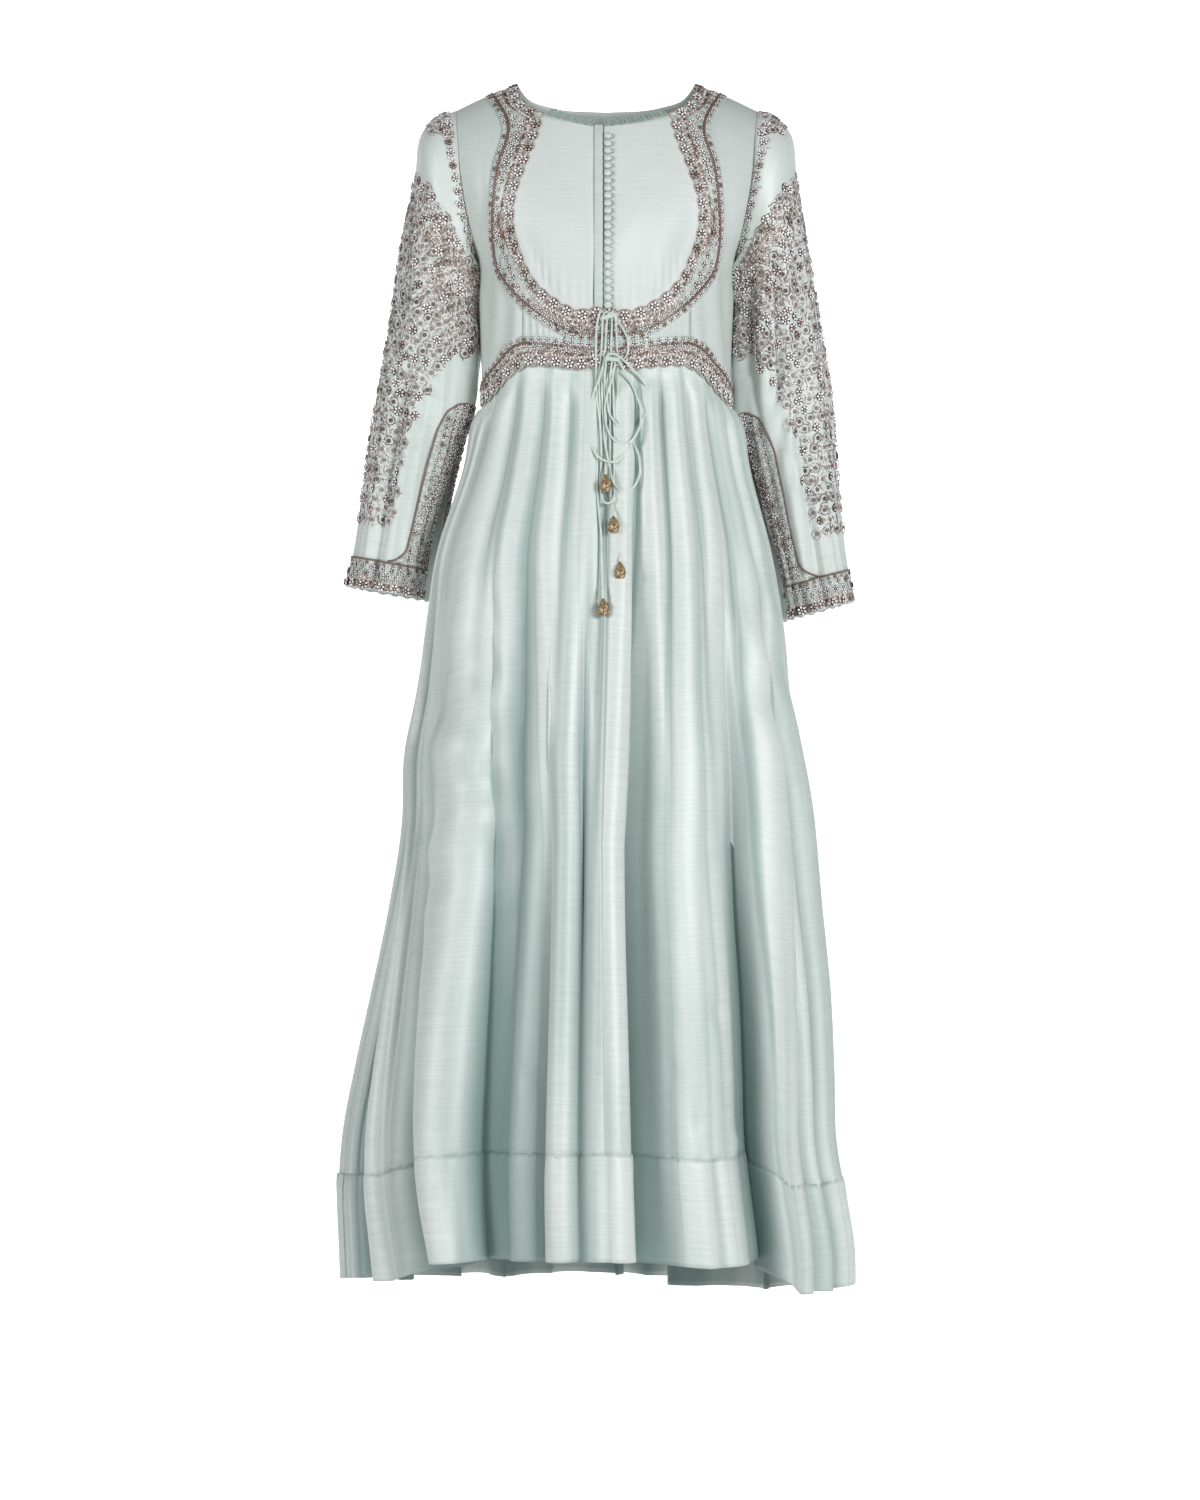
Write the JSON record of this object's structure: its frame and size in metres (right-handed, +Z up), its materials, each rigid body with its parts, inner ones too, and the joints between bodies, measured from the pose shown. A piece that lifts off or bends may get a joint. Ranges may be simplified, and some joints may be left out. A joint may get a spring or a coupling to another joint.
{
  "type": "anarkali gown",
  "caption": "Worn anarkali gown: U-yoke bodice with buttoned front and bow ties, long slit sleeves, full-length flared skirt; neck, cuffs and hem open.",
  "frame": {"origin": "centre of the neck opening, level with the shoulders that hold the gown up", "axes": "+Z up; the front of the gown faces -Y; the wearer's left is at +X"},
  "size_m": [0.5839, 0.4764, 1.3902],
  "materials": {
    "silk": "pale sage slub silk with a soft satin sheen",
    "pale_silk": "paler, bluer slub silk of the yoke",
    "metal_thread": "dense embroidery in antique brown and silver thread",
    "gilt_bead": "antique gilt tassel bead with a wound thread surface"
  },
  "bodies": {
    "root": {"side_front_left": "silk", "side_front_right": "silk", "midriff_left": "silk", "midriff_right": "silk", "back_bodice": "silk", "sleeve_left": "silk", "sleeve_right": "silk", "skirt_front_left": "silk", "skirt_front_right": "silk", "skirt_back_left": "silk", "skirt_back_right": "silk", "hem_band_front": "silk", "hem_band_back": "silk", "neck_loops_left": "silk", "neck_loops_right": "silk", "front_button_01": "silk", "front_button_02": "silk", "front_button_03": "silk", "front_button_04": "silk", "front_button_05": "silk", "front_button_06": "silk", "front_button_07": "silk", "front_button_08": "silk", "front_button_09": "silk", "front_button_10": "silk", "front_button_11": "silk", "front_button_12": "silk", "front_button_13": "silk", "front_button_14": "silk", "front_button_15": "silk", "front_button_16": "silk", "front_button_17": "silk", "front_button_18": "silk", "front_button_19": "silk", "front_button_20": "silk", "front_button_21": "silk", "front_button_22": "silk", "front_button_23": "silk", "front_yoke_left": "pale_silk", "front_yoke_right": "pale_silk", "button_placket": "pale_silk", "yoke_border_left": "metal_thread", "yoke_border_right": "metal_thread", "waist_border_left": "metal_thread", "waist_border_right": "metal_thread", "slit_border_left": "metal_thread", "slit_border_right": "metal_thread", "cuff_border_left": "metal_thread", "cuff_border_right": "metal_thread", "tie_cord_right_top": "silk", "tie_cord_left_top": "silk", "tie_cord_right_low": "silk", "tie_cord_left_low": "silk", "bead_right_top": "gilt_bead", "bead_left_top": "gilt_bead", "bead_right_low": "gilt_bead", "bead_left_low": "gilt_bead"}
  },
  "joints": []
}
